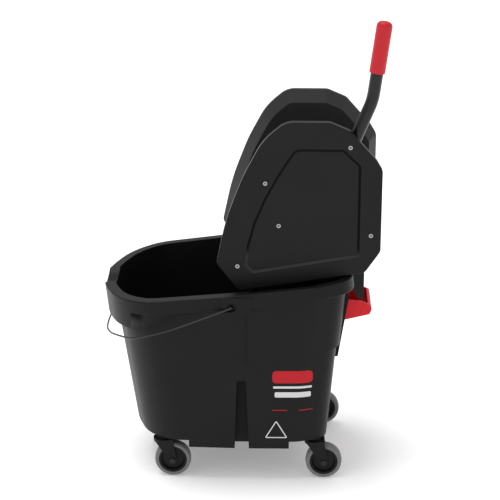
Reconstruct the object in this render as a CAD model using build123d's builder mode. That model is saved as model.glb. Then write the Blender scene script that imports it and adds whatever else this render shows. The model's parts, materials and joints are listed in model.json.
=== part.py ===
import os
from math import atan, cos, pi, radians, sin, sqrt, tan

from build123d import *

os.makedirs("parts", exist_ok=True)

# Tub: half of each plan outline as corner points with their radii, nose first
rim_corners = [(-291.5, 46, 230), (-252, 150, 150), (-190, 191, 95), (10, 203, 900), (150, 198, 110), (226, 165, 52)]
foot_corners = [(-226, 36, 200), (-192, 130, 100), (-140, 158, 85), (8, 162, 900), (112, 160, 90), (177, 140, 46)]
rim_z = 430.1
rim_rise = 0.11
rim_flange = 17.5
rim_skirt = 28.0
skirt_wall = 3.2
deck_wall = 4.0
tub_wall = 4.0
apron_skirt = 62.0
apron_x = -222.0
belly_z = 76.0
pad_z = 92.0
belly_x0 = -108.0
belly_x1 = 100.0
spout_half = 44.0
spout_dip = 15.0
nest_step = 6.0
nest_z = 270.0
nest_rise = 0.163
nest_x = 14.0
brake_depth = 42.0
brake_top_z = 233.0
bulge_half = 62.0
handle_screw_z = (334, 350)

# Bail
bail_x = -15.3
bail_z = 406.0
bail_wire_r = 2.6
bail_hang = 22.0
bail_corners = [(0, 191.6, 0), (0, 206.6, 7), (138, 206, 150), (222, 172, 110), (276, 92, 60), (294, 32, 45)]
bail_face_y = 203.5

# Casters
wheel_r = 38.1
wheel_w = 24.0
hub_r = 29.5
caster_y = 131.0
caster_front_x = -163.3
caster_rear_x = 153.7
caster_trail = 19.5
stem_r = 5.5
stem_top_z = 127.0
fork_top_z = 86.0
fork_leg = 3.5
fork_gap = 13.6
axle_r = 4.0

# Wringer housings
face_y = 150.0
split_y = 134.0
shell_y = 85.3
cover_wall = 3.5
cover_face = 4.5
shell_wall = 4.0
shell_taper = 19.0
housing_corners = [
    (-49, 480, 14), (-4, 421, 16), (248, 462, 18), (279, 508, 18), (279, 675, 18), (267, 695, 12),
    (214, 754, 20), (174, 771, 24), (88, 771, 46), (44, 734, 130), (6, 664, 380), (-29, 573, 480),
]
panel_pts = [
    (202, 717.5), (236.5, 684.6), (237, 497), (23.5, 459.3), (8.1, 475.6), (12.2, 516.1),
    (26.1, 567.2), (46.2, 614.9), (68.6, 657), (90.7, 693.6), (105.5, 714.3), (115.4, 717.5),
]
panel_depth = 2.4
post_spots = [(48.7, 648), (75.7, 560), (258.7, 542), (-6.3, 475)]
panel_spot = (75.7, 560)
stop_spot = (214.7, 722)
post_r = 5.5
screw_r = 2.0
screw_head_r = 4.2
screw_head_h = 2.3

# Wringer basket
basket_x0 = 9.0
basket_x1 = 180.0
basket_y = 85.0
basket_wall = 4.0
basket_z = 240.0
slot_w = 16.0
slot_pitch = 38.0
slot_x0 = 28.0
wing_spots = [(45, 278.3, 175.0), (120, 290.4, 170.6)]

# Press drive
pivot_x = 155.0
pivot_z = 560.0
module = 4.0
sector_teeth = 30
pressure = radians(20)
backlash = 0.5
sector_swing = 62.0
sector_y0 = 93.0
sector_y1 = 103.0
pin_r = 7.0
running = 0.06
pitch_r = module * sector_teeth / 2
rack_x = pivot_x + pitch_r
rack_y0 = 92.0
rack_y1 = 104.0
rack_back_x = 234.0
press_travel = pitch_r * radians(sector_swing)
lug_z0 = 600.0
lug_z1 = 632.0
arm_y0 = 74.0
arm_y1 = 79.0
plate_x0 = 22.0
plate_x1 = 172.0
plate_z = 466.0

# Lever
lever_y = 120.5
tube_r = 12.5
lever_bend = (256.6, 810.0)
lever_top = (276.6, 964.0)
grip_r = 15.6
grip_len = 101.0

slope = atan(rim_rise)
rim_plane = Plane(origin=(0, 0, rim_z), x_dir=(cos(slope), 0, sin(slope)), z_dir=(-sin(slope), 0, cos(slope)))


def side_plane(y):
    return Plane(origin=(0, y, 0), x_dir=(1, 0, 0), z_dir=(0, -1, 0))


def corner_face(corners, inward, stretch=1.0):
    loop = corners + [(x, -y, r) for x, y, r in reversed(corners)]
    with BuildSketch() as outline:
        with BuildLine():
            Polyline(*[(x * stretch, y) for x, y, r in loop], close=True)
        make_face()
        for x, y, r in loop:
            fillet(outline.vertices().sort_by_distance((x * stretch, y, 0))[0], r)
        if inward:
            offset(amount=-inward)
    return outline.sketch


def wall_solid(step_in, low_z, top_offset):
    with BuildPart() as wall:
        with BuildSketch(Plane.XY.offset(low_z)):
            add(corner_face(foot_corners, step_in))
        with BuildSketch(rim_plane.offset(top_offset)):
            add(corner_face(rim_corners, rim_flange + step_in, 1 / cos(slope)))
        loft(ruled=True)
    return wall.part


def nest_solid(step_in, top_offset):
    with BuildPart() as nest:
        add(wall_solid(step_in - nest_step, belly_z, top_offset))
        with BuildSketch(side_plane(260)):
            low = nest_z + step_in * 0.2
            with BuildLine():
                Polyline(
                    (nest_x + step_in, low), (320, low + nest_rise * (306 - step_in)), (320, 520),
                    (nest_x + step_in, 520), close=True,
                )
            make_face()
        extrude(amount=520, mode=Mode.INTERSECT)
    return nest.part


def brake_solid(grow):
    inner = 172 - brake_depth - grow
    with BuildPart() as brake:
        for side in (-1, 1):
            with BuildSketch(side_plane(side * inner)):
                with BuildLine():
                    Polyline(
                        (-14 - grow, 40), (18 + grow, 40), (11.5 + grow, brake_top_z + grow),
                        (-7.5 - grow, brake_top_z + grow), close=True,
                    )
                make_face()
            extrude(amount=-side * (230 - inner))
    return brake.part


def rim_band(depth):
    with BuildPart() as band:
        with BuildSketch(rim_plane):
            add(corner_face(rim_corners, 0, 1 / cos(slope)))
        extrude(amount=-depth)
        fillet(band.faces().sort_by(Axis.Z)[-1].edges(), 2.4)
        with BuildSketch(rim_plane.offset(-deck_wall)):
            add(corner_face(rim_corners, skirt_wall, 1 / cos(slope)))
        extrude(amount=-depth, mode=Mode.SUBTRACT)
    return band.part


def apron_cut():
    with BuildPart() as cut:
        with BuildSketch(side_plane(260)):
            with BuildLine():
                Polyline((-320, 250), (apron_x - 8, 250), (apron_x + 8, 470), (-320, 470), close=True)
            make_face()
        extrude(amount=520)
    return cut.part


def spout_trough(radius, length):
    centre = rim_plane.offset(radius + spout_bottom(radius))
    with BuildPart() as trough:
        start = centre.location * Location((-320, 0, 0))
        with BuildSketch(Plane(origin=start.position, x_dir=(0, 1, 0), z_dir=centre.x_dir)):
            Circle(radius)
        extrude(amount=length)
    return trough.part


def spout_radius():
    return (spout_half**2 + spout_dip**2) / (2 * spout_dip)


def spout_bottom(radius):
    return -spout_dip - (radius - spout_radius())


caster_spots = {
    "front_left": (caster_front_x, -caster_y),
    "front_right": (caster_front_x, caster_y),
    "rear_left": (caster_rear_x, -caster_y),
    "rear_right": (caster_rear_x, caster_y),
}


def end_blocks(step, height):
    with BuildPart() as blocks:
        for x0, x1 in ((-330, belly_x0 + step), (belly_x1 - step, 330)):
            with Locations(((x0 + x1) / 2, 0, height / 2)):
                Box(x1 - x0, 520, height)
    return blocks.part


def spout_cylinder(extra, length):
    radius = (spout_half**2 + spout_dip**2) / (2 * spout_dip)
    start = rim_plane.location * Location((-340, 0, radius - spout_dip))
    with BuildPart() as tube:
        with BuildSketch(Plane(origin=start.position, x_dir=(0, 1, 0), z_dir=rim_plane.x_dir)):
            Circle(radius + extra)
        extrude(amount=length)
    return tube.part


def spout_trough():
    with BuildPart() as trough:
        with BuildSketch(rim_plane):
            add(corner_face(rim_corners, 0.4, 1 / cos(slope)))
        extrude(amount=-50)
        add(spout_cylinder(deck_wall, 95), mode=Mode.INTERSECT)
    return trough.part


def outer_body():
    with BuildPart() as body:
        add(rim_band(rim_skirt))
        add(rim_band(apron_skirt) & apron_cut())
        add(wall_solid(0, belly_z, 0))
        add(nest_solid(0, -2))
        add(end_blocks(0, pad_z), mode=Mode.SUBTRACT)
        for side in (-1, 1):
            with Locations((bail_x + 8, side * (bail_face_y - 9), bail_z + 2)):
                Box(62, 18, 36)
        with BuildSketch(side_plane(bulge_half)):
            with BuildLine():
                Polyline((180, 244), (200.7, 244), (220.7, 370), (220.7, 428), (196, 428), close=True)
            make_face()
        extrude(amount=2 * bulge_half)
        add(brake_solid(0), mode=Mode.SUBTRACT)
    return body.part


def cavity_body():
    with BuildPart() as body:
        add(wall_solid(tub_wall, belly_z, 6))
        add(nest_solid(tub_wall, 6))
        with Locations((0, 0, (belly_z + tub_wall) / 2)):
            Box(700, 520, belly_z + tub_wall, mode=Mode.SUBTRACT)
        add(end_blocks(tub_wall, pad_z + tub_wall), mode=Mode.SUBTRACT)
        add(brake_solid(tub_wall), mode=Mode.SUBTRACT)
        for x, y in caster_spots.values():
            with Locations((x, y, (pad_z + stem_top_z + 8) / 2)):
                Cylinder(13, stem_top_z + 8 - pad_z, mode=Mode.SUBTRACT)
    return body.part


def bulge_pockets():
    with BuildPart() as pockets:
        for side in (-1, 1):
            with BuildSketch(side_plane(side * 45 + 13)):
                with BuildLine():
                    Polyline((190.8, 235), (195.4, 235), (213.8, 352), (200.6, 352), close=True)
                make_face()
            extrude(amount=26)
    return pockets.part


def bail_cuts():
    with BuildPart() as cuts:
        for side in (-1, 1):
            with Locations(Location((bail_x, side * 206, bail_z), (90, 0, 0))):
                Cylinder(bail_wire_r + running, 50)
            with Locations(Location((bail_x, side * (bail_face_y - 1), bail_z), (90, 0, 0))):
                Cylinder(9, 9)
            with Locations((bail_x - 18, side * (bail_face_y - 1), bail_z - 6)):
                Box(36, 9, 8.5)
    return cuts.part


def fixing_bores():
    with BuildPart() as bores:
        for x, y in caster_spots.values():
            with Locations((x, y, (pad_z + stem_top_z) / 2)):
                Cylinder(stem_r + running, stem_top_z + 2 - pad_z)
        for side in (-1, 1):
            for height in handle_screw_z:
                with Locations(Location((205, side * 20, height), (0, 90, 0))):
                    Cylinder(screw_r, 40)
    return bores.part


with BuildPart() as tub:
    add(outer_body())
    add(spout_trough())
    add(spout_cylinder(0, 140), mode=Mode.SUBTRACT)
    add(cavity_body(), mode=Mode.SUBTRACT)
    add(bulge_pockets(), mode=Mode.SUBTRACT)
    add(bail_cuts(), mode=Mode.SUBTRACT)
    add(fixing_bores(), mode=Mode.SUBTRACT)


def handle_tray():
    with BuildPart() as tray:
        with BuildSketch(side_plane(50)):
            with BuildLine():
                Polyline((220.5, 367), (244.7, 365), (268.2, 355), (270.1, 346), (265.7, 335), (213.6, 322), close=True)
            make_face()
            fillet([v for v in vertices() if v.X > 262], 4)
        extrude(amount=100)
        with BuildSketch(side_plane(45)):
            with BuildLine():
                Polyline((224.5, 380), (218.6, 328.5), (260.5, 339), (264.5, 346), (262, 352), (262, 380), close=True)
            make_face()
        extrude(amount=90, mode=Mode.SUBTRACT)
        for side in (-1, 1):
            for height in handle_screw_z:
                with Locations(Location((205, side * 20, height), (0, 90, 0))):
                    Cylinder(screw_r, 60, mode=Mode.SUBTRACT)
    return tray.part


with BuildPart() as rear_handle:
    add(handle_tray())

with BuildPart() as rear_handle_screws:
    for side in (-1, 1):
        for height in handle_screw_z:
            seat = 218.6 + (height - 328.5) * 5.9 / 51.5
            with Locations(Location((seat - 9.3, side * 20, height), (0, 90, 0))):
                Cylinder(screw_r - 0.03, 20)
            with Locations(Location((seat + 1.7, side * 20, height), (0, 90, 0))):
                Cylinder(screw_head_r, 2)

hang = radians(bail_hang)
bail_plane = Plane(
    origin=(bail_x, 0, bail_z), x_dir=(-cos(hang), 0, -sin(hang)), z_dir=(sin(hang), 0, -cos(hang)),
)


def flat_bail():
    loop = bail_corners + [(x, -y, r) for x, y, r in reversed(bail_corners)]
    with BuildPart() as wire:
        with BuildLine() as path:
            Polyline(*[(x, y) for x, y, r in loop])
            for x, y, r in loop:
                if r:
                    fillet(path.vertices().sort_by_distance((x, y, 0))[0], r)
        with BuildSketch(Plane(origin=path.line @ 0, z_dir=path.line % 0)):
            Circle(bail_wire_r)
        sweep()
    return wire.part


with BuildPart() as bail:
    add(flat_bail().moved(bail_plane.location))


def caster_fork(x, y):
    with BuildPart() as fork:
        with Locations((x, y, 82.5)):
            Cylinder(21, 7)
        with Locations((x + 8, y, 82.5)):
            Box(26, 34.4, 7)
        with Locations((x, y, 88.8)):
            Cylinder(13, 5.7)
        for side in (-1, 1):
            with BuildSketch(side_plane(y + side * (fork_gap + fork_leg / 2) + fork_leg / 2)):
                with BuildLine():
                    Polyline((x - 15, 80), (x + 21, 80), (x + caster_trail + 9, 40), (x + caster_trail + 9, 33),
                             (x + caster_trail - 9, 33), (x - 2, 60), close=True)
                make_face()
                fillet(vertices().group_by(Axis.Y)[0], 7)
            extrude(amount=fork_leg)
        with Locations((x, y, 90)):
            Cylinder(stem_r + 0.02, 40, mode=Mode.SUBTRACT)
        with Locations(Location((x + caster_trail, y, wheel_r), (90, 0, 0))):
            Cylinder(axle_r + 0.02, 60, mode=Mode.SUBTRACT)
    return fork.part


def caster_stem(x, y):
    with BuildPart() as stem:
        with Locations((x, y, (79.5 + stem_top_z) / 2)):
            Cylinder(stem_r, stem_top_z - 79.5)
        chamfer(stem.edges().group_by(Axis.Z)[-1], 1.2)
    return stem.part


def caster_axle(x, y):
    outer = fork_gap + fork_leg
    with BuildPart() as axle:
        with Locations(Location((x + caster_trail, y, wheel_r), (90, 0, 0))):
            Cylinder(axle_r, 2 * outer + 1)
        for side in (-1, 1):
            with Locations(Location((x + caster_trail, y + side * (outer + 1.5), wheel_r), (90, 0, 0))):
                Cylinder(6.5, 2.6)
        fillet(axle.edges().filter_by(GeomType.CIRCLE).group_by(Axis.Y)[0], 1.2)
        fillet(axle.edges().filter_by(GeomType.CIRCLE).group_by(Axis.Y)[-1], 1.2)
    return axle.part


def caster_hub(x, y):
    with BuildPart() as hub:
        with BuildSketch(Plane.XY):
            with BuildLine():
                Polyline((axle_r + running, -12.4), (10, -12.4), (10, -8), (23, -6), (24.5, -10.5), (hub_r, -10.5),
                         (hub_r, 10.5), (24.5, 10.5), (23, 6), (10, 8), (10, 12.4), (axle_r + running, 12.4),
                         close=True)
            make_face()
        revolve(axis=Axis.Y)
    return hub.part.moved(Location((x + caster_trail, y, wheel_r)))


def caster_tyre(x, y):
    half = wheel_w / 2
    with BuildPart() as tyre:
        with BuildSketch(Plane.XY):
            with BuildLine():
                Polyline((hub_r + 0.02, -half + 1), (wheel_r - 3, -half), (wheel_r - 0.8, -half + 3.5), (wheel_r, 0),
                         (wheel_r - 0.8, half - 3.5), (wheel_r - 3, half), (hub_r + 0.02, half - 1), close=True)
            make_face()
            fillet([v for v in vertices() if v.X > hub_r + 4], 2)
        revolve(axis=Axis.Y)
    return tyre.part.moved(Location((x + caster_trail, y, wheel_r)))


def housing_face(inward):
    with BuildSketch() as outline:
        with BuildLine():
            Polyline(*[(x, z) for x, z, r in housing_corners], close=True)
        make_face()
        for x, z, r in housing_corners:
            fillet(outline.vertices().sort_by_distance((x, z, 0))[0], r)
        if inward:
            offset(amount=-inward)
    return outline.sketch


def plane_at(y, side):
    return Plane(origin=(0, side * y, 0), x_dir=(1, 0, 0), z_dir=(0, -1, 0))


def side_cover(side):
    out = -side
    with BuildPart() as cover:
        with BuildSketch(plane_at(split_y + 0.15, side)):
            add(housing_face(0))
        extrude(amount=out * (face_y - split_y - 0.15))
        fillet(cover.faces().sort_by(Axis.Y)[0 if side < 0 else -1].outer_wire().edges(), 2.5)
        with BuildSketch(plane_at(split_y, side)):
            add(housing_face(cover_wall))
        extrude(amount=out * (face_y - split_y - cover_face), mode=Mode.SUBTRACT)
        with BuildSketch(plane_at(face_y, side)):
            with BuildLine():
                Polyline(*panel_pts, close=True)
            make_face()
            fillet(vertices(), 5)
        extrude(amount=-out * panel_depth, taper=35, mode=Mode.SUBTRACT)
        for x, z in post_spots:
            with Locations(Location((x, side * 142, z), (90, 0, 0))):
                Cylinder(screw_r + 0.3, 30, mode=Mode.SUBTRACT)
    return cover


def cover_boss(side):
    with BuildPart() as boss:
        with Locations(Location((pivot_x, side * (face_y - cover_face / 2 - 6.5), pivot_z), (90, 0, 0))):
            Cylinder(14, 9)
            Cylinder(pin_r + 0.02, 9, mode=Mode.SUBTRACT)
    return boss.part


def side_shell(side):
    out = -side
    with BuildPart() as shell:
        with BuildSketch(plane_at(split_y - 0.15, side)):
            add(housing_face(0.4))
        extrude(amount=-out * (split_y - 0.15 - shell_y), taper=shell_taper)
        with BuildSketch(plane_at(split_y, side)):
            add(housing_face(0.4 + shell_wall))
        extrude(amount=-out * (split_y - shell_y - shell_wall), taper=shell_taper, mode=Mode.SUBTRACT)
        for x, z in post_spots:
            with Locations(Location((x, side * (shell_y + 29.5), z), (90, 0, 0))):
                Cylinder(post_r, 59)
        for x, z in post_spots:
            with Locations(Location((x, side * (shell_y + 50), z), (90, 0, 0))):
                Cylinder(screw_r + 0.02, 40, mode=Mode.SUBTRACT)
        with Locations((223.5, side * (shell_y + 2), (lug_z0 - press_travel + lug_z1) / 2)):
            Box(24, 16, lug_z1 - lug_z0 + press_travel + 4, mode=Mode.SUBTRACT)
        with Locations((rack_back_x + 3.4, side * (shell_y + 10.5), 562)):
            Box(6, 17, 170)
        for x in (90, 160):
            with Locations(Location((x, side * shell_y, 453.4 + 0.163 * (x + 4)), (90, 0, 0))):
                Cylinder(screw_r + 0.02, 30, mode=Mode.SUBTRACT)
    return shell


def lever_slot():
    first = radians(90 - lean_deg)
    last = radians(90 - lean_deg - sector_swing)
    half = tube_r + 3
    ring = [
        swing_point(90, first, half), swing_point(330, first, half), swing_point(400, (first + last) / 2, 0),
        swing_point(330, last, -half), swing_point(90, last, -half),
    ]
    with BuildPart() as slot:
        with BuildSketch(plane_at(lever_y - 14.5, -1)):
            with BuildLine():
                Polyline(*ring, close=True)
            make_face()
        extrude(amount=40)
    return slot.part


def swing_point(reach, angle, shift):
    return (
        pivot_x + reach * cos(angle) - shift * sin(angle),
        pivot_z + reach * sin(angle) + shift * cos(angle),
    )


lean = atan((lever_bend[0] - pivot_x) / (lever_bend[1] - pivot_z))
lean_deg = lean * 180 / pi

with BuildPart() as near_cover:
    add(side_cover(-1).part)
    add(cover_boss(-1))
    with Locations(Location((stop_spot[0], -142, stop_spot[1]), (90, 0, 0))):
        Cylinder(screw_r + 0.3, 30, mode=Mode.SUBTRACT)

with BuildPart() as far_cover:
    add(side_cover(1).part)

with BuildPart() as near_shell:
    add(side_shell(-1).part)
    add(lever_slot(), mode=Mode.SUBTRACT)
    with Locations(Location((pivot_x, -shell_y - 2.5, pivot_z), (90, 0, 0))):
        Cylinder(14, 5)
        Cylinder(pin_r + 0.02, 20, mode=Mode.SUBTRACT)

with BuildPart() as far_shell:
    add(side_shell(1).part)


def cover_screws(side, spots):
    with BuildPart() as screws:
        for x, z in spots:
            sunk = panel_depth if (x, z) == panel_spot else 0
            with Locations(Location((x, side * (face_y - sunk + screw_head_h / 2), z), (90, 0, 0))):
                Cylinder(screw_head_r, screw_head_h)
            with Locations(Location((x, side * (face_y - sunk - 6), z), (90, 0, 0))):
                Cylinder(screw_r, 12)
    return screws.part


with BuildPart() as near_cover_screws:
    add(cover_screws(-1, post_spots + [stop_spot]))

with BuildPart() as far_cover_screws:
    add(cover_screws(1, post_spots))

with BuildPart() as lever_stop:
    edge = pivot_x + (715 - pivot_z) * tan(lean) - tube_r / cos(lean) - 0.5
    with BuildSketch(plane_at(111, -1)):
        with BuildLine():
            Polyline((edge - 16, 700), (edge - 15 * tan(lean), 700), (edge + 15 * tan(lean), 730),
                     (edge - 6, 730), close=True)
        make_face()
    extrude(amount=face_y - cover_face - 0.2 - 111)
    with Locations((stop_spot[0] - 5, -(face_y - cover_face - 0.2 - 4.5), stop_spot[1] - 4)):
        Box(24, 9, 20)
    with Locations(Location((stop_spot[0], -142, stop_spot[1]), (90, 0, 0))):
        Cylinder(screw_r + 0.02, 30, mode=Mode.SUBTRACT)


def basket_shell():
    with BuildPart() as shell:
        with BuildSketch(side_plane(basket_y)):
            with BuildLine():
                Polyline((basket_x0 + 6, basket_z), (basket_x1 - 4, basket_z), (basket_x1, 455), (basket_x1, 492),
                         (90, 483.5), (60, 478.5), (30, 440), (basket_x0, 436), close=True)
            make_face()
        extrude(amount=2 * basket_y)
        with BuildSketch(side_plane(basket_y - basket_wall)):
            with BuildLine():
                Polyline((basket_x0 + 6 + basket_wall, basket_z + basket_wall),
                         (basket_x1 - 4 - basket_wall, basket_z + basket_wall), (basket_x1 - basket_wall, 455),
                         (basket_x1 - basket_wall, 520), (basket_x0 + basket_wall, 520),
                         (basket_x0 + basket_wall, 430), close=True)
            make_face()
        extrude(amount=2 * (basket_y - basket_wall), mode=Mode.SUBTRACT)
        with Locations((basket_x1 - 2, 0, 480)):
            Box(8, 2 * (basket_y - basket_wall), 50, mode=Mode.SUBTRACT)
    return shell.part


def basket_slots():
    with BuildPart() as slots:
        for i in range(4):
            with Locations((slot_x0 + i * slot_pitch, 0, 350)):
                Box(slot_w, 220, 150)
        for y in (-60, -30, 0, 30, 60):
            with Locations((basket_x0 + 8, y, 340)):
                Box(30, 14, 130)
            with Locations((basket_x1 - 6, y, 340)):
                Box(30, 14, 130)
        for i in range(5):
            for j in range(5):
                with Locations((35 + 29.5 * i, -60 + 30 * j, basket_z)):
                    Cylinder(8, 30)
    return slots.part


with BuildPart() as basket:
    add(basket_shell())
    add(basket_slots(), mode=Mode.SUBTRACT)
    for side in (-1, 1):
        for x, z, wing_y in wing_spots:
            with BuildSketch(Plane(origin=(x - 6, 0, 0), x_dir=(0, 1, 0), z_dir=(1, 0, 0))):
                with BuildLine():
                    Polyline((side * (basket_y - 1), z), (side * wing_y, z), (side * wing_y, z + 12),
                             (side * (basket_y - 1), z + 46), close=True)
                make_face()
            extrude(amount=12)
        for x in (90, 160):
            with Locations(Location((x, side * basket_y, 453.4 + 0.163 * (x + 4)), (90, 0, 0))):
                Cylinder(screw_r + 0.02, 30, mode=Mode.SUBTRACT)
    for y in (-50, 50):
        with Locations(Location((182, y, 443), (0, 90, 0))):
            Cylinder(screw_r + 0.02, 30, mode=Mode.SUBTRACT)

with BuildPart() as basket_screws:
    for side in (-1, 1):
        for x in (90, 160):
            with Locations(Location((x, side * (shell_y + 0.5), 453.4 + 0.163 * (x + 4)), (90, 0, 0))):
                Cylinder(screw_r, 8.6)
            with Locations(Location((x, side * (shell_y + shell_wall + 1), 453.4 + 0.163 * (x + 4)), (90, 0, 0))):
                Cylinder(screw_head_r, 1.9)

with BuildPart() as rear_hook:
    with Locations((206, 0, 460.5)):
        Box(51, 140, 5)
    with Locations((241, 0, 460.5)):
        Box(20, 160, 5)
    with Locations((248.5, 0, 422)):
        Box(5, 160, 82)
    with Locations((238, 0, 411)):
        Box(18, 160, 3.5)
    for y in (-78, -39, 0, 39, 78):
        with BuildSketch(side_plane(y + 2)):
            with BuildLine():
                Polyline((229.5, 459), (247, 459), (247, 381), (241, 381), (229.5, 396), close=True)
            make_face()
        extrude(amount=4)
    with Locations((182.5, 0, 445)):
        Box(4, 140, 31)
    for y in (-50, 50):
        with Locations(Location((182, y, 443), (0, 90, 0))):
            Cylinder(screw_r + 0.02, 30, mode=Mode.SUBTRACT)


def involute(angle):
    return tan(angle) - angle


def tooth_half_angle(r):
    base = pitch_r * cos(pressure)
    flank = 0 if r <= base else (lambda c: involute(atan(sqrt(1 - c * c) / c)))(base / r)
    return pi / (2 * sector_teeth) + involute(pressure) - flank - backlash / (4 * pitch_r)


def sector_profile(first, last):
    radii = [pitch_r - 1.25 * module, pitch_r - 3.2, pitch_r - 1, pitch_r + 1.5, pitch_r + module]
    points = []
    for k in range(first, last + 1):
        mid = 2 * pi * k / sector_teeth
        for r in radii:
            points.append((r * cos(mid - tooth_half_angle(r)), r * sin(mid - tooth_half_angle(r))))
        for r in reversed(radii):
            points.append((r * cos(mid + tooth_half_angle(r)), r * sin(mid + tooth_half_angle(r))))
    return points


with BuildPart() as sector_gear:
    with BuildSketch(plane_at(sector_y0, -1)):
        with BuildLine():
            rim_points = [(pivot_x + x, pivot_z + z) for x, z in sector_profile(-1, 7)]
            Polyline((pivot_x, pivot_z), *rim_points, close=True)
        make_face()
        with Locations((pivot_x, pivot_z)):
            Circle(24)
    extrude(amount=sector_y1 - sector_y0)
    with Locations(Location((pivot_x, -(91 + 133.6) / 2, pivot_z), (90, 0, 0))):
        Cylinder(20, 133.6 - 91)
    socket_dir = (sin(lean), 0, cos(lean))
    with BuildSketch(Plane(origin=(pivot_x, -lever_y, pivot_z), z_dir=socket_dir)):
        Circle(tube_r + 3)
    extrude(amount=82)
    with BuildSketch(Plane(origin=(pivot_x + 24 * sin(lean), -lever_y, pivot_z + 24 * cos(lean)), z_dir=socket_dir)):
        Circle(tube_r + 0.03)
    extrude(amount=90, mode=Mode.SUBTRACT)
    with Locations(Location((pivot_x, -110, pivot_z), (90, 0, 0))):
        Cylinder(pin_r + running, 80, mode=Mode.SUBTRACT)

with BuildPart() as lever_pin:
    with Locations(Location((pivot_x, -(82.4 + 144.8) / 2, pivot_z), (90, 0, 0))):
        Cylinder(pin_r, 144.8 - 82.4)
    with Locations(Location((pivot_x, -(82.3 + 85.2) / 2, pivot_z), (90, 0, 0))):
        Cylinder(11, 2.9)

lever_dir = (sin(lean), cos(lean))
bend_len = sqrt((lever_bend[0] - pivot_x) ** 2 + (lever_bend[1] - pivot_z) ** 2)
top_len = sqrt((lever_top[0] - lever_bend[0]) ** 2 + (lever_top[1] - lever_bend[1]) ** 2)
top_dir = ((lever_top[0] - lever_bend[0]) / top_len, (lever_top[1] - lever_bend[1]) / top_len)


def along_top(back):
    return (lever_top[0] - top_dir[0] * back, lever_top[1] - top_dir[1] * back)


with BuildPart() as lever_tube:
    with BuildLine(plane_at(lever_y, -1)) as lever_path:
        FilletPolyline(
            (pivot_x + 24.1 * lever_dir[0], pivot_z + 24.1 * lever_dir[1]), lever_bend, along_top(8), radius=120,
        )
    with BuildSketch(Plane(origin=lever_path.line @ 0, z_dir=lever_path.line % 0)):
        Circle(tube_r)
        Circle(tube_r - 1.6, mode=Mode.SUBTRACT)
    sweep()

with BuildPart() as lever_grip:
    base = along_top(grip_len)
    with BuildSketch(Plane(origin=(base[0], -lever_y, base[1]), z_dir=(top_dir[0], 0, top_dir[1]))):
        Circle(grip_r)
    extrude(amount=grip_len)
    fillet(lever_grip.faces().sort_by(Axis.Z)[-1].edges(), 10)
    fillet(lever_grip.faces().sort_by(Axis.Z)[0].edges(), 1.5)
    with BuildSketch(Plane(origin=(base[0], -lever_y, base[1]), z_dir=(top_dir[0], 0, top_dir[1]))):
        Circle(tube_r + 0.03)
    extrude(amount=grip_len - 7, mode=Mode.SUBTRACT)


def rack_points():
    pitch = pi * module
    half_thick = pitch / 4 - backlash / 4
    points = []
    for j in range(-1, 7):
        mid = pivot_z + (j + 0.5) * pitch
        tip = half_thick - module * tan(pressure)
        root = half_thick + 1.25 * module * tan(pressure)
        points.extend([
            (rack_x + 1.25 * module, mid - root), (rack_x - module, mid - tip),
            (rack_x - module, mid + tip), (rack_x + 1.25 * module, mid + root),
        ])
    return points


def press_lug(side):
    with BuildPart() as lug:
        with Locations((227.25, side * (arm_y1 + rack_y1) / 2, (lug_z0 + lug_z1) / 2)):
            Box(12.5, rack_y1 - arm_y1, lug_z1 - lug_z0)
    return lug.part


with BuildPart() as press_rack:
    with BuildSketch(plane_at(rack_y0, -1)):
        with BuildLine():
            Polyline(*rack_points(), (rack_back_x, 650), (rack_back_x, 546), close=True)
        make_face()
    extrude(amount=rack_y1 - rack_y0)
    add(press_lug(-1))

with BuildPart() as press_guide:
    with Locations((227, (rack_y0 + rack_y1) / 2, 598)):
        Box(14, rack_y1 - rack_y0, 104)
    add(press_lug(1))


def press_arm(side):
    with BuildPart() as arm:
        with BuildSketch(side_plane(side * (arm_y0 + arm_y1) / 2 + (arm_y1 - arm_y0) / 2)):
            with BuildLine():
                Polyline((212, 634), (235, 634), (235, 592), (168, 516), (168, 466), (60, 466), (60, 480),
                         (146, 508), (212, 602), close=True)
            make_face()
            fillet(vertices(), 2.5)
        extrude(amount=arm_y1 - arm_y0)
    return arm.part


with BuildPart() as press_head:
    for side in (-1, 1):
        add(press_arm(side))
    with Locations(((plate_x0 + plate_x1) / 2, 0, plate_z + 3)):
        Box(plate_x1 - plate_x0, 2 * arm_y1, 6)
    fillet(press_head.edges().filter_by(Axis.Z).sort_by(Axis.X)[:2], 14)
    for x in (50, 90, 130):
        with Locations((x, 0, plate_z + 12)):
            Box(4, 2 * arm_y0 - 0.4, 14)
    for i in range(4):
        for j in range(4):
            with Locations((38 + 40 * i, -51 + 34 * j, plate_z)):
                Cylinder(6, 30, mode=Mode.SUBTRACT)
    with Locations(Location((223.5, 0, 616), (90, 0, 0))):
        Cylinder(8, 2 * arm_y0 + 1)

with BuildPart() as hook_screws:
    for y in (-50, 50):
        with Locations(Location((182, y, 443), (0, 90, 0))):
            Cylinder(screw_r, 11)
        with Locations(Location((basket_x1 + 5.6, y, 443), (0, 90, 0))):
            Cylinder(screw_head_r, 2)

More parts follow.
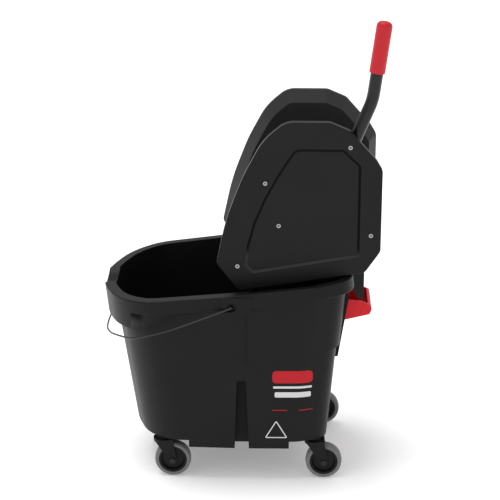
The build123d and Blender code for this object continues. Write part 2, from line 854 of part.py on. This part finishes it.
nodes = {
    "tub": tub.part,
    "rear_handle": rear_handle.part,
    "rear_handle_screws": rear_handle_screws.part,
    "bail": bail.part,
    "basket": basket.part,
    "basket_screws": basket_screws.part,
    "rear_hook": rear_hook.part,
    "near_shell": near_shell.part,
    "far_shell": far_shell.part,
    "near_cover": near_cover.part,
    "far_cover": far_cover.part,
    "near_cover_screws": near_cover_screws.part,
    "far_cover_screws": far_cover_screws.part,
    "lever_stop": lever_stop.part,
    "lever_pin": lever_pin.part,
    "sector_gear": sector_gear.part,
    "lever_tube": lever_tube.part,
    "lever_grip": lever_grip.part,
    "press_rack": press_rack.part,
    "press_guide": press_guide.part,
    "press_head": press_head.part,
    "hook_screws": hook_screws.part,
}
for spot, (x, y) in caster_spots.items():
    nodes["caster_fork_" + spot] = caster_fork(x, y)
    nodes["caster_stem_" + spot] = caster_stem(x, y)
    nodes["caster_axle_" + spot] = caster_axle(x, y)
    nodes["wheel_hub_" + spot] = caster_hub(x, y)
    nodes["wheel_tyre_" + spot] = caster_tyre(x, y)

for name, part in nodes.items():
    part.label = name
    export_step(part, "parts/" + name + ".step")
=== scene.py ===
import bpy
import bmesh
import json
import math
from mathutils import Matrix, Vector


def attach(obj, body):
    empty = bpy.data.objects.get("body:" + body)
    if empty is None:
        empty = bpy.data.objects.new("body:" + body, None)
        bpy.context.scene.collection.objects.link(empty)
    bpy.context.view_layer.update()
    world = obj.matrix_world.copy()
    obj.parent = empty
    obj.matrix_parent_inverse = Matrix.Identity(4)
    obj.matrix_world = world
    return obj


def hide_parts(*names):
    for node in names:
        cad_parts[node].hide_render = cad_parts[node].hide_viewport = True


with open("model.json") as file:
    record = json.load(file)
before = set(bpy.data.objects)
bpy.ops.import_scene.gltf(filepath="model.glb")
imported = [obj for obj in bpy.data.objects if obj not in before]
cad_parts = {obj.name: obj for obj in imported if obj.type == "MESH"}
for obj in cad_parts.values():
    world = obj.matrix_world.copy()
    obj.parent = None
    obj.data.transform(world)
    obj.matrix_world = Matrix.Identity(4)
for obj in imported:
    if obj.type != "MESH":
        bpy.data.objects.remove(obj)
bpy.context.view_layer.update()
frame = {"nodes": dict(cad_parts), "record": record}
scene = bpy.context.scene
print("stage: frame loaded")


# sockets wrapped so that maths on them reads as plain expressions
class Wire:
    def __init__(self, book, socket):
        self.book = book
        self.socket = socket

    def maths(self, kind, other, flip=False):
        a, b = (other, self) if flip else (self, other)
        return self.book.node("ShaderNodeMath", {"operation": kind}, {0: a, 1: b}).out("Value")

    def __add__(self, other):
        return self.maths("ADD", other)

    def __radd__(self, other):
        return self.maths("ADD", other)

    def __sub__(self, other):
        return self.maths("SUBTRACT", other)

    def __rsub__(self, other):
        return self.maths("SUBTRACT", other, True)

    def __mul__(self, other):
        return self.maths("MULTIPLY", other)

    def __rmul__(self, other):
        return self.maths("MULTIPLY", other)

    def clamp(self):
        return self.book.node("ShaderNodeClamp", {}, {"Value": self}).out("Result")


class Made:
    def __init__(self, book, node):
        self.book = book
        self.node = node

    def out(self, name):
        return Wire(self.book, self.node.outputs[name])


class MaterialBook:
    def __init__(self, name):
        self.material = bpy.data.materials.new(name)
        self.material.use_nodes = True
        self.tree = self.material.node_tree
        self.shader = self.tree.nodes["Principled BSDF"]

    def node(self, kind, settings, inputs):
        made = self.tree.nodes.new(kind)
        for key, value in settings.items():
            setattr(made, key, value)
        for key, value in inputs.items():
            self.link(value, made.inputs[key])
        return Made(self, made)

    def link(self, value, socket):
        if isinstance(value, Wire):
            self.tree.links.new(value.socket, socket)
        else:
            socket.default_value = value

    def set(self, **values):
        for key, value in values.items():
            self.link(value, self.shader.inputs[key.replace("_", " ")])

    def place(self):
        return self.node("ShaderNodeTexCoord", {}, {}).out("Object")

    def noise(self, scale, detail=2.0, rough=0.5):
        inputs = {"Vector": self.place(), "Scale": scale, "Detail": detail, "Roughness": rough}
        return self.node("ShaderNodeTexNoise", {}, inputs).out(0)

    # inputs 6 and 7 and output 2 are the Mix node's colour sockets
    def blend(self, mask, low, high):
        return self.node("ShaderNodeMix", {"data_type": "RGBA"}, {0: mask, 6: low, 7: high}).out(2)

    def keep(self, **values):
        for key, value in values.items():
            self.shader.inputs[key.replace("_", " ")].default_value = value

    def bump(self, height, strength, distance):
        made = self.node("ShaderNodeBump", {}, {"Height": height, "Strength": strength, "Distance": distance})
        self.link(made.out("Normal"), self.shader.inputs["Normal"])


# moulded plastic and rubber: a cloudy tone with a fine grain
bodyLook = {
    "dark": (0.0046, 0.0047, 0.0049, 1), "light": (0.0074, 0.0075, 0.0078, 1), "rough": 0.42, "specular": 0.14,
    "cloudScale": 9.0, "cloudDetail": 3.0, "cloudContrast": 1.6, "cloudRoughness": 0.10,
    "grainScale": 900.0, "grainDetail": 2.0, "grainSoftness": 0.6, "grainRoughness": 0.05,
    "grainDepth": 0.18, "grainReach": 0.0004,
}
coverLook = dict(bodyLook, dark=(0.0080, 0.0080, 0.0083, 1), light=(0.0112, 0.0112, 0.0115, 1), rough=0.44)
# painted light: the wringer's black plastic gets a lighter base than the body's, lifting its faces that the lamps
# leave in shade
wringerLitLook = dict(bodyLook, dark=(0.0125, 0.0126, 0.0130, 1), light=(0.0165, 0.0166, 0.0170, 1), rough=0.52)
handleLook = dict(bodyLook, dark=(0.68, 0.0070, 0.0130, 1), light=(0.77, 0.0095, 0.0170, 1), rough=0.36,
                  specular=0.22)
gripLook = dict(bodyLook, dark=(0.45, 0.0100, 0.0170, 1), light=(0.54, 0.0140, 0.0230, 1), grainScale=600.0,
                specular=0.25)
forkLook = dict(bodyLook, dark=(0.0050, 0.0050, 0.0053, 1), light=(0.0085, 0.0085, 0.0088, 1), rough=0.38)
tyreLook = dict(bodyLook, dark=(0.13, 0.13, 0.135, 1), light=(0.18, 0.18, 0.185, 1), rough=0.62, grainScale=500.0,
                specular=0.35)
gearLook = dict(bodyLook, dark=(0.03, 0.03, 0.032, 1), light=(0.045, 0.045, 0.047, 1), rough=0.4)
stopLook = dict(bodyLook, dark=(0.009, 0.009, 0.009, 1), light=(0.014, 0.014, 0.014, 1), rough=0.7)


def mouldedPlastic(name, look):
    book = MaterialBook(name)
    cloud = book.noise(look["cloudScale"], look["cloudDetail"])
    grain = book.noise(look["grainScale"], look["grainDetail"], look["grainSoftness"])
    mask = ((cloud - 0.5) * look["cloudContrast"] + 0.5).clamp()
    rough = look["rough"] + (cloud - 0.5) * look["cloudRoughness"] + (grain - 0.5) * look["grainRoughness"]
    book.set(Base_Color=book.blend(mask, look["dark"], look["light"]), Roughness=rough.clamp())
    book.bump(grain, look["grainDepth"], look["grainReach"])
    book.keep(Specular_IOR_Level=look["specular"])
    return book.material


# lever tube: black paint with a thin coat and a little orange peel
tubeLook = {
    "paint": (0.0035, 0.0035, 0.0038, 1), "rough": 0.30, "specular": 0.22, "coat": 0.22, "coatRough": 0.12,
    "peelScale": 180.0, "peelRoughness": 0.06, "peelDepth": 0.12, "peelReach": 0.0005,
}


def paintedTube(name, look):
    book = MaterialBook(name)
    peel = book.noise(look["peelScale"])
    book.set(Base_Color=look["paint"], Roughness=(look["rough"] + (peel - 0.5) * look["peelRoughness"]).clamp())
    book.bump(peel, look["peelDepth"], look["peelReach"])
    book.keep(Coat_Weight=look["coat"], Coat_Roughness=look["coatRough"], Specular_IOR_Level=look["specular"])
    return book.material


# screws, pins and the bail's wire
steelLook = {"base": (0.34, 0.34, 0.35, 1), "rough": 0.34, "brushScale": 240.0, "brushRoughness": 0.16}
pinLook = dict(steelLook, base=(0.035, 0.035, 0.037, 1), rough=0.5)
wireLook = dict(steelLook, base=(0.050, 0.050, 0.053, 1), rough=0.36)


def bareMetal(name, look):
    book = MaterialBook(name)
    brushed = book.noise(look["brushScale"])
    rough = look["rough"] + (brushed - 0.5) * look["brushRoughness"]
    book.set(Base_Color=look["base"], Roughness=rough.clamp())
    book.keep(Metallic=1.0)
    return book.material


finishes = {
    "body_black": mouldedPlastic("bodyPlastic", bodyLook),
    "cover_black": mouldedPlastic("coverPlastic", coverLook),
    "wringer_black": mouldedPlastic("wringerPlasticPaintedLight", wringerLitLook),
    "handle_red": mouldedPlastic("redHandlePlastic", handleLook),
    "grip_red": mouldedPlastic("redGripRubber", gripLook),
    "fork_black": mouldedPlastic("forkPlastic", forkLook),
    "tyre_grey": mouldedPlastic("greyTyreRubber", tyreLook),
    "gear_nylon": mouldedPlastic("gearNylon", gearLook),
    "stop_rubber": mouldedPlastic("stopRubber", stopLook),
    "tube_black": paintedTube("leverPaint", tubeLook),
    "wire_steel": bareMetal("bailSteel", wireLook),
    "screw_steel": bareMetal("screwSteel", steelLook),
    "pin_steel": bareMetal("pinSteel", pinLook),
}
slotOf = {part["node"]: part["material_slot"] for part in frame["record"]["subparts"]}
for nodeName, nodeObject in frame["nodes"].items():
    material = finishes[slotOf[nodeName]]
    if not nodeObject.material_slots:
        nodeObject.data.materials.append(material)
    for slot in nodeObject.material_slots:
        slot.material = material
print("stage: finishes on the frame's nodes")

for item in bpy.context.selected_objects:
    item.select_set(False)

# plain marks on the near wall: a red patch, pale bars, red lines and an empty triangle
markLook = {
    "red": (0.46, 0.008, 0.016, 1), "pale": (0.62, 0.62, 0.62, 1), "rough": 0.42, "specular": 0.2,
    "wornScale": 140.0, "wornRoughness": 0.12, "lift": 0.00035, "thick": 0.0009, "stripWidth": 0.006,
    "startY": -0.25, "cornerSteps": 5,
}
barLooks = [
    {"name": "redPatch", "paint": "red", "x": (0.0650, 0.1475), "z": (0.2285, 0.2565), "corner": 0.0085},
    {"name": "paleBarUpper", "paint": "pale", "x": (0.0670, 0.1460), "z": (0.2165, 0.2215), "corner": 0.0015},
    {"name": "paleBarLower", "paint": "pale", "x": (0.0700, 0.1440), "z": (0.1960, 0.2080), "corner": 0.0030},
    {"name": "redLineLeft", "paint": "red", "x": (0.0650, 0.0960), "z": (0.1655, 0.1670), "corner": 0.0005},
    {"name": "redLineRight", "paint": "red", "x": (0.1200, 0.1480), "z": (0.1655, 0.1670), "corner": 0.0005},
]
triangleLook = {"centerX": 0.0735, "centerZ": 0.1150, "radius": 0.0275, "corner": 0.0045, "width": 0.0022}
upright = (math.pi / 2, 0, 0)


def plainPaint(name, color):
    book = MaterialBook(name)
    worn = book.noise(markLook["wornScale"])
    rough = markLook["rough"] + (worn - 0.5) * markLook["wornRoughness"]
    book.set(Base_Color=color, Roughness=rough.clamp())
    book.keep(Specular_IOR_Level=markLook["specular"])
    return book.material


markPaints = {"red": plainPaint("redMark", markLook["red"]), "pale": plainPaint("paleMark", markLook["pale"])}


def nameAndPaint(piece, name, material):
    piece.name = name
    piece.data.materials.append(material)
    piece.select_set(False)


def applyModifier(piece, kind, settings):
    modifier = piece.modifiers.new(kind.lower(), kind)
    for key, value in settings.items():
        setattr(modifier, key, value)
    bpy.ops.object.modifier_apply(modifier=modifier.name)


# upright strips let a flat mark follow the wall's curve
def cutStrips(low, high):
    x = low + markLook["stripWidth"]
    while x < high:
        bpy.ops.mesh.select_all(action="SELECT")
        bpy.ops.mesh.bisect(plane_co=(x, 0, 0), plane_no=(1, 0, 0))
        x += markLook["stripWidth"]


def finishMark(mark, name, paint, low, high):
    cutStrips(low, high)
    bpy.ops.object.mode_set(mode="OBJECT")
    applyModifier(mark, "SHRINKWRAP", {
        "target": frame["nodes"]["tub"], "wrap_method": "PROJECT", "use_project_y": True,
        "use_positive_direction": True, "use_negative_direction": False, "wrap_mode": "ABOVE_SURFACE",
        "offset": markLook["lift"],
    })
    applyModifier(mark, "SOLIDIFY", {"thickness": markLook["thick"], "offset": -1})
    nameAndPaint(mark, name, markPaints[paint])
    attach(mark, "bucket")


def roundCorners(corner, steps):
    bpy.ops.mesh.select_all(action="SELECT")
    bpy.ops.mesh.bevel(offset=corner, segments=steps, affect="VERTICES")


def barMark(look):
    low, high = look["x"]
    bottom, top = look["z"]
    middle = ((low + high) / 2, markLook["startY"], (bottom + top) / 2)
    bpy.ops.mesh.primitive_plane_add(size=1, location=middle, rotation=upright)
    mark = bpy.context.object
    mark.scale = (high - low, top - bottom, 1)
    bpy.ops.object.transform_apply(location=True, rotation=True, scale=True)
    bpy.ops.object.mode_set(mode="EDIT")
    roundCorners(look["corner"], markLook["cornerSteps"])
    finishMark(mark, look["name"], look["paint"], low, high)


def triangleMark(look):
    middle = (look["centerX"], markLook["startY"], look["centerZ"])
    bpy.ops.mesh.primitive_circle_add(vertices=3, radius=look["radius"], fill_type="NGON", location=middle,
                                      rotation=upright)
    mark = bpy.context.object
    bpy.ops.object.transform_apply(location=True, rotation=True, scale=True)
    bpy.ops.object.mode_set(mode="EDIT")
    roundCorners(look["corner"], markLook["cornerSteps"])
    bpy.ops.mesh.select_mode(type="FACE")
    bpy.ops.mesh.select_all(action="SELECT")
    bpy.ops.mesh.inset(thickness=look["width"])
    bpy.ops.mesh.delete(type="FACE")
    finishMark(mark, "triangleOutline", "pale", look["centerX"] - look["radius"], look["centerX"] + look["radius"])


for barLook in barLooks:
    barMark(barLook)
triangleMark(triangleLook)
print("stage: plain marks")

# sloped border of the recess in each outer cover, darker above and brighter along its foot: painted shade on its
# upper slopes and a painted highlight along its foot
panelLook = {
    "outline": [(0.2020, 0.7175), (0.2365, 0.6846), (0.2370, 0.4970), (0.0235, 0.4593), (0.0081, 0.4756),
                (0.0122, 0.5161), (0.0261, 0.5672), (0.0462, 0.6149), (0.0686, 0.6570), (0.0907, 0.6936),
                (0.1055, 0.7143), (0.1154, 0.7175)],
    "faceY": 0.15, "lift": 0.0001, "slopeWidth": 0.0048, "slopeDepth": 0.0024, "backing": 0.0012,
    "corner": 0.0035, "cornerSteps": 3, "startRadius": 0.01,
    # the two colours next are painted shade for the slopes and a painted highlight for their foot
    "shade": (0.0012, 0.0012, 0.0013, 1), "paintedHighlight": (0.034, 0.034, 0.035, 1), "paintedHighlightBelow": 0.512,
    "paintedHighlightFade": 60.0, "rough": 0.4, "specular": 0.06, "wornScale": 60.0, "wornRoughness": 0.1,
}


def borderPaintedShadeAndHighlight(name, look):
    book = MaterialBook(name)
    height = book.node("ShaderNodeSeparateXYZ", {}, {"Vector": book.place()}).out("Z")
    worn = book.noise(look["wornScale"])
    # the height mask paints a highlight along the border's foot and leaves painted shade above it
    mask = ((look["paintedHighlightBelow"] - height) * look["paintedHighlightFade"]).clamp()
    rough = look["rough"] + (worn - 0.5) * look["wornRoughness"]
    book.set(Base_Color=book.blend(mask, look["shade"], look["paintedHighlight"]), Roughness=rough.clamp())
    book.keep(Specular_IOR_Level=look["specular"])
    return book.material


borderPaintedShading = borderPaintedShadeAndHighlight("borderPaintedShadeAndHighlight", panelLook)


def moveVertexTo(piece, index, place):
    bpy.ops.mesh.select_all(action="DESELECT")
    mesh = bmesh.from_edit_mesh(piece.data)
    mesh.verts.ensure_lookup_table()
    mesh.verts[index].select_set(True)
    away = Vector(place) - mesh.verts[index].co
    bmesh.update_edit_mesh(piece.data)
    bpy.ops.transform.translate(value=away)


def panelBorder(name, side):
    outline = panelLook["outline"]
    bpy.ops.mesh.primitive_circle_add(vertices=len(outline), radius=panelLook["startRadius"], fill_type="NGON",
                                      location=(0, 0, 0), rotation=upright)
    border = bpy.context.object
    bpy.ops.object.transform_apply(location=True, rotation=True, scale=True)
    bpy.ops.object.mode_set(mode="EDIT")
    bpy.ops.mesh.select_mode(type="VERT")
    order = [loop.vert.index for face in bmesh.from_edit_mesh(border.data).faces for loop in face.loops]
    for index, (x, z) in zip(order, outline):
        moveVertexTo(border, index, (x, side * (panelLook["faceY"] + panelLook["lift"]), z))
    bpy.ops.mesh.select_all(action="SELECT")
    bpy.ops.mesh.normals_make_consistent(inside=False)
    roundCorners(panelLook["corner"], panelLook["cornerSteps"])
    bpy.ops.mesh.select_mode(type="FACE")
    bpy.ops.mesh.select_all(action="SELECT")
    if any(face.normal.y * side < 0 for face in bmesh.from_edit_mesh(border.data).faces):
        bpy.ops.mesh.flip_normals()
    bpy.ops.mesh.inset(thickness=panelLook["slopeWidth"], depth=-panelLook["slopeDepth"])
    bpy.ops.mesh.delete(type="FACE")
    bpy.ops.object.mode_set(mode="OBJECT")
    applyModifier(border, "SOLIDIFY", {"thickness": panelLook["backing"], "offset": -1})
    nameAndPaint(border, name, borderPaintedShading)
    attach(border, "bucket")


panelBorder("nearPanelBorder", -1)
panelBorder("farPanelBorder", 1)
print("stage: panel borders")

# dark crosses on the heads of the cover screws, painted shade in place of their cross recesses: x, z and how far
# out each head's face is
recessShadeLook = {
    "bothSides": [(0.0487, 0.648, 0.1523), (0.2587, 0.542, 0.1523), (-0.0063, 0.475, 0.1523)],
    "nearOnly": [(0.2147, 0.722, 0.1523)],
    "inPanel": [(0.0757, 0.560, 0.1499)],
    "armWidth": 0.0014, "armReach": 0.0017, "depth": 0.0008, "proud": 0.00006, "turnStep": 0.7,
    "paint": (0.006, 0.006, 0.006, 1),
}
# painted shade: a near-black colour for the crosses
recessPaintedShade = plainPaint("screwRecessPaintedShade", recessShadeLook["paint"])
crossArms = [Vector((1, 0, 0)), Vector((-1, 0, 0)), Vector((0, 0, 1)), Vector((0, 0, -1))]


# a thin dark cross standing just proud of a head's face, painted shade where the real screw has a hollow
def paintedShadeCross(place, turn):
    half = recessShadeLook["armWidth"] / 2
    atFace = half / 10  # how near a face's centre is to the arm's root to be the one pulled out
    bpy.ops.mesh.primitive_cube_add(size=recessShadeLook["armWidth"], location=(0, 0, 0))
    cross = bpy.context.object
    bpy.ops.object.mode_set(mode="EDIT")
    bpy.ops.mesh.select_mode(type="FACE")
    for arm in crossArms:
        bpy.ops.mesh.select_all(action="DESELECT")
        mesh = bmesh.from_edit_mesh(cross.data)
        for face in mesh.faces:
            face.select_set((face.calc_center_median() - arm * half).length < atFace)
        bmesh.update_edit_mesh(cross.data)
        bpy.ops.mesh.extrude_region_move(TRANSFORM_OT_translate={"value": arm * recessShadeLook["armReach"]})
    bpy.ops.object.mode_set(mode="OBJECT")
    cross.scale = (1, recessShadeLook["depth"] / recessShadeLook["armWidth"], 1)
    cross.rotation_euler = (0, turn, 0)
    cross.location = place
    bpy.ops.object.transform_apply(location=True, rotation=True, scale=True)
    return cross


def paintedShadeCrossSet(name, side, spots):
    crosses = []
    for k, (x, z, face) in enumerate(spots):
        middleY = side * (face + recessShadeLook["proud"] - recessShadeLook["depth"] / 2)
        crosses.append(paintedShadeCross((x, middleY, z), k * recessShadeLook["turnStep"]))
    for cross in crosses:
        cross.select_set(True)
    bpy.ops.object.join()
    whole = bpy.context.object
    nameAndPaint(whole, name, recessPaintedShade)
    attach(whole, "bucket")


paintedShadeCrossSet("nearScrewShadeCrosses", -1, recessShadeLook["bothSides"] + recessShadeLook["nearOnly"] + recessShadeLook["inPanel"])
paintedShadeCrossSet("farScrewShadeCrosses", 1, recessShadeLook["bothSides"] + recessShadeLook["inPanel"])
print("stage: screw recesses")

# smooth wire bail on the plain one's route; halfRoute is ahead of the pivot and across, in the plane it hangs in
bailLook = {
    "pivotX": -0.0153, "pivotZ": 0.406, "hangDegrees": 22.0, "radius": 0.0019, "lengthSteps": 24, "roundSteps": 5,
    "halfRoute": [(0.000, 0.1925), (0.000, 0.2030), (0.004, 0.2064), (0.040, 0.2066), (0.138, 0.2060),
                  (0.190, 0.1860), (0.222, 0.1720), (0.252, 0.1280), (0.276, 0.0920), (0.288, 0.0620),
                  (0.294, 0.0320)],
}


def bailPiece(look):
    hang = math.radians(look["hangDegrees"])
    route = look["halfRoute"] + [(ahead, -across) for ahead, across in reversed(look["halfRoute"])]
    curve = bpy.data.curves.new("bailWire", "CURVE")
    curve.dimensions = "3D"
    curve.resolution_u = look["lengthSteps"]
    curve.bevel_depth = look["radius"]
    curve.bevel_resolution = look["roundSteps"]
    curve.use_fill_caps = True
    line = curve.splines.new("NURBS")
    line.points.add(len(route) - 1)
    for point, (ahead, across) in zip(line.points, route):
        point.co = (look["pivotX"] - ahead * math.cos(hang), across, look["pivotZ"] - ahead * math.sin(hang), 1)
    line.order_u = 3
    line.use_endpoint_u = True
    bailWire = bpy.data.objects.new("bailWire", curve)
    scene.collection.objects.link(bailWire)
    bpy.context.view_layer.objects.active = bailWire
    bailWire.select_set(True)
    bpy.ops.object.convert(target="MESH")
    bpy.ops.object.shade_smooth()
    bailWire = bpy.context.object
    nameAndPaint(bailWire, "bailWire", finishes["wire_steel"])
    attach(bailWire, "bail")
    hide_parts("bail")


bailPiece(bailLook)
print("stage: bail wire")

# floor, lights and camera
roomLook = {
    "floorSize": 90.0, "floorDrop": 0.0005, "floorColor": (0.95, 0.95, 0.95, 1), "floorRough": 0.75,
    "floorGlow": 0.22, "worldColor": (1, 1, 1, 1), "worldStrength": 0.70,
    "sunStrength": 1.75, "sunFrom": (-0.25, 0.02, 1.2), "sunSoftness": 0.55, "sunPlace": (0, 0, 3),
    "keyPlace": (-2.2, -1.6, 2.4), "keyAim": (0, 0, 0.4), "keySize": 0.9, "keyPower": 3.0,
}
cameraLook = {
    "place": (0.1112, -2.9923, 1.4966), "pitch": 0.3342, "yaw": 0.03245, "lens": 108.65, "sensor": 36, "reach": 50,
}


def paleFloor(look):
    bpy.ops.mesh.primitive_plane_add(size=look["floorSize"], location=(0, 0, -look["floorDrop"]))
    floor = bpy.context.object
    floor.name = "floor"
    bpy.ops.object.transform_apply(location=True, rotation=True, scale=True)
    book = MaterialBook("paleFloor")
    book.keep(Base_Color=look["floorColor"], Roughness=look["floorRough"], Emission_Color=look["floorColor"],
              Emission_Strength=look["floorGlow"])
    floor.data.materials.append(book.material)


def keyLight(look):
    bpy.ops.object.light_add(type="AREA", location=look["keyPlace"])
    light = bpy.context.object
    light.name = "keyLight"
    light.data.size = look["keySize"]
    light.data.energy = look["keyPower"]
    light.rotation_euler = (Vector(look["keyAim"]) - Vector(look["keyPlace"])).to_track_quat("-Z", "Y").to_euler()


def sunLight(look):
    bpy.ops.object.light_add(type="SUN", location=look["sunPlace"])
    sun = bpy.context.object
    sun.name = "sun"
    sun.data.energy = look["sunStrength"]
    sun.data.angle = look["sunSoftness"]
    sun.rotation_euler = Vector(look["sunFrom"]).to_track_quat("Z", "Y").to_euler()


def paleWorld(look):
    world = bpy.data.worlds.new("paleRoom")
    world.use_nodes = True
    background = world.node_tree.nodes["Background"]
    background.inputs["Color"].default_value = look["worldColor"]
    background.inputs["Strength"].default_value = look["worldStrength"]
    scene.world = world


def sceneCamera(look):
    turn = (math.pi / 2 - look["pitch"], 0, look["yaw"])
    bpy.ops.object.camera_add(location=look["place"], rotation=turn)
    camera = bpy.context.object
    camera.name = "camera"
    camera.data.lens = look["lens"]
    camera.data.sensor_width = look["sensor"]
    camera.data.clip_end = look["reach"]
    scene.camera = camera


paleFloor(roomLook)
keyLight(roomLook)
sunLight(roomLook)
paleWorld(roomLook)
sceneCamera(cameraLook)
scene.view_settings.view_transform = "Standard"
print("stage: room, lights and camera")
